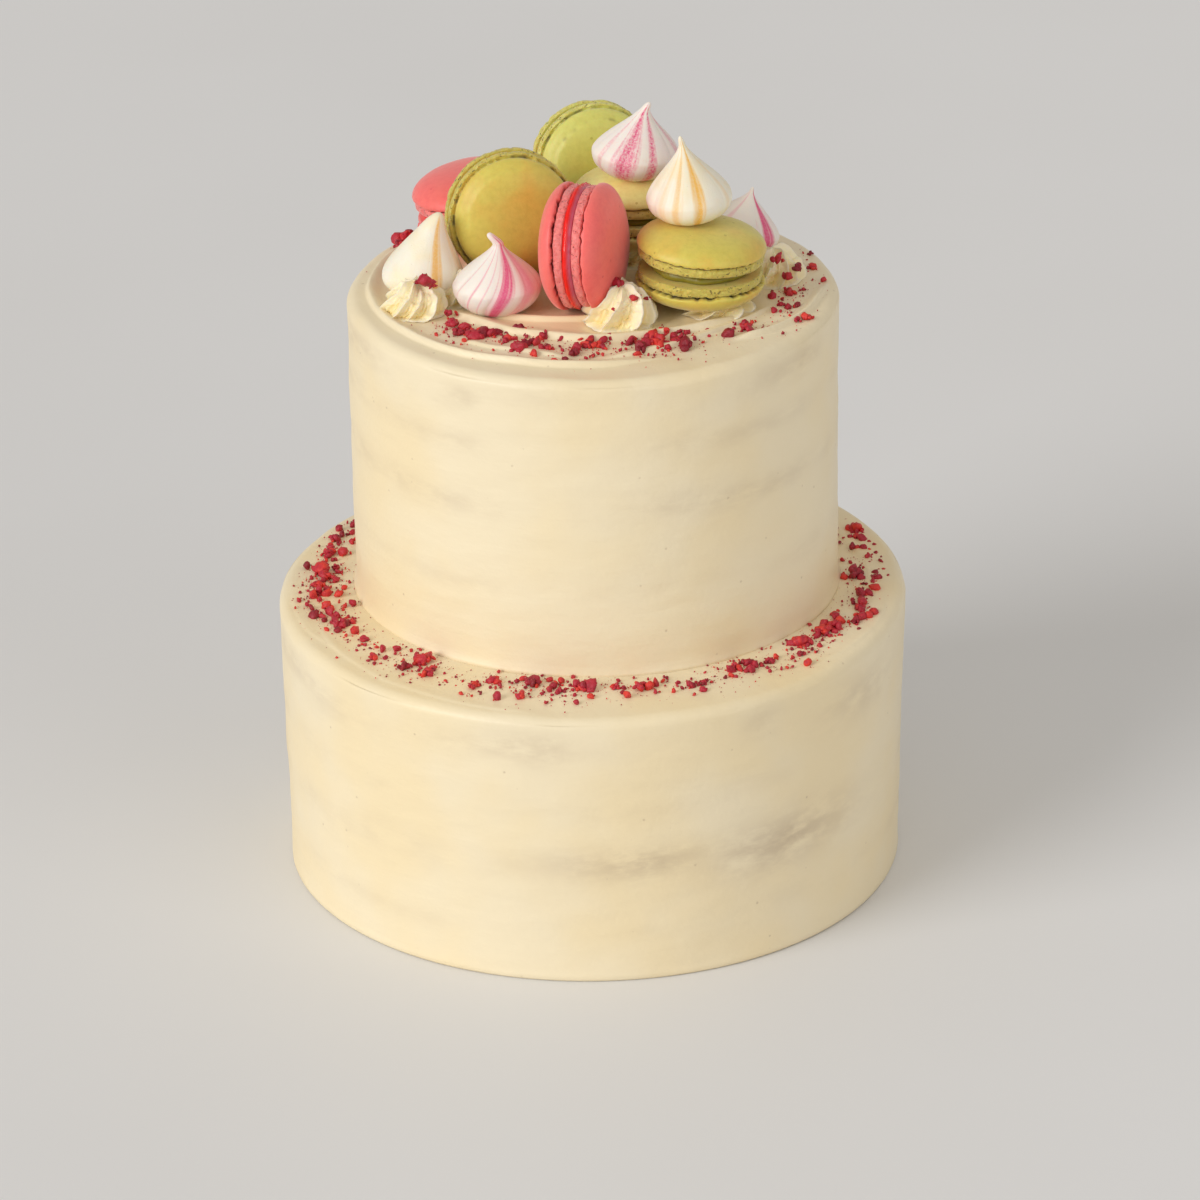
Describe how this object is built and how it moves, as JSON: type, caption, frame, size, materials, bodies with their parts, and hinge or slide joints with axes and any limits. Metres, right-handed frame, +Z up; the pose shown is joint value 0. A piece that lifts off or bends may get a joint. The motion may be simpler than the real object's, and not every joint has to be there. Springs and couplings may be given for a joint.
{
  "type": "layer cake",
  "caption": "Two-tier round layer cake with smooth ivory icing, raspberry crumbs on both ledges, and a crown of macarons, meringue kisses and piped rosettes.",
  "frame": {"origin": "middle of the lower tier's base, on the plane that the cake rests on", "axes": "+Z up; the front of the decoration, as pictured, faces -Y; +X is to the viewer's right"},
  "size_m": [0.224, 0.2245, 0.2718],
  "materials": {
    "icing": "smooth soft satin buttercream",
    "pink_shell": "smooth baked shell with a rough foot",
    "green_shell": "smooth baked shell with a rough foot",
    "yellow_shell": "smooth baked shell with a rough foot",
    "red_filling": "glossy jam",
    "green_filling": "satin cream filling",
    "pink_meringue": "matt meringue with pink stripes",
    "orange_meringue": "matt meringue with orange stripes",
    "buttercream": "soft piped buttercream"
  },
  "bodies": {
    "root": {"tier_lower": "icing", "tier_upper": "icing", "macaron_pink_front_base": "pink_shell", "macaron_pink_front_filling": "red_filling", "macaron_pink_front_top": "pink_shell", "macaron_green_left_base": "green_shell", "macaron_green_left_filling": "green_filling", "macaron_green_left_top": "green_shell", "macaron_green_back_base": "green_shell", "macaron_green_back_filling": "green_filling", "macaron_green_back_top": "green_shell", "macaron_green_right_base": "green_shell", "macaron_green_right_filling": "green_filling", "macaron_green_right_top": "green_shell", "macaron_yellow_middle_base": "yellow_shell", "macaron_yellow_middle_filling": "green_filling", "macaron_yellow_middle_top": "yellow_shell", "macaron_pink_back_base": "pink_shell", "macaron_pink_back_filling": "red_filling", "macaron_pink_back_top": "pink_shell", "kiss_pink_top": "pink_meringue", "kiss_orange_top": "orange_meringue", "kiss_pink_right": "pink_meringue", "kiss_orange_left": "orange_meringue", "kiss_pink_front": "pink_meringue", "rosette_front": "buttercream", "rosette_left": "buttercream", "rosette_left_inner": "buttercream", "rosette_right": "buttercream", "dab_right": "buttercream", "dab_middle": "buttercream"}
  },
  "joints": []
}
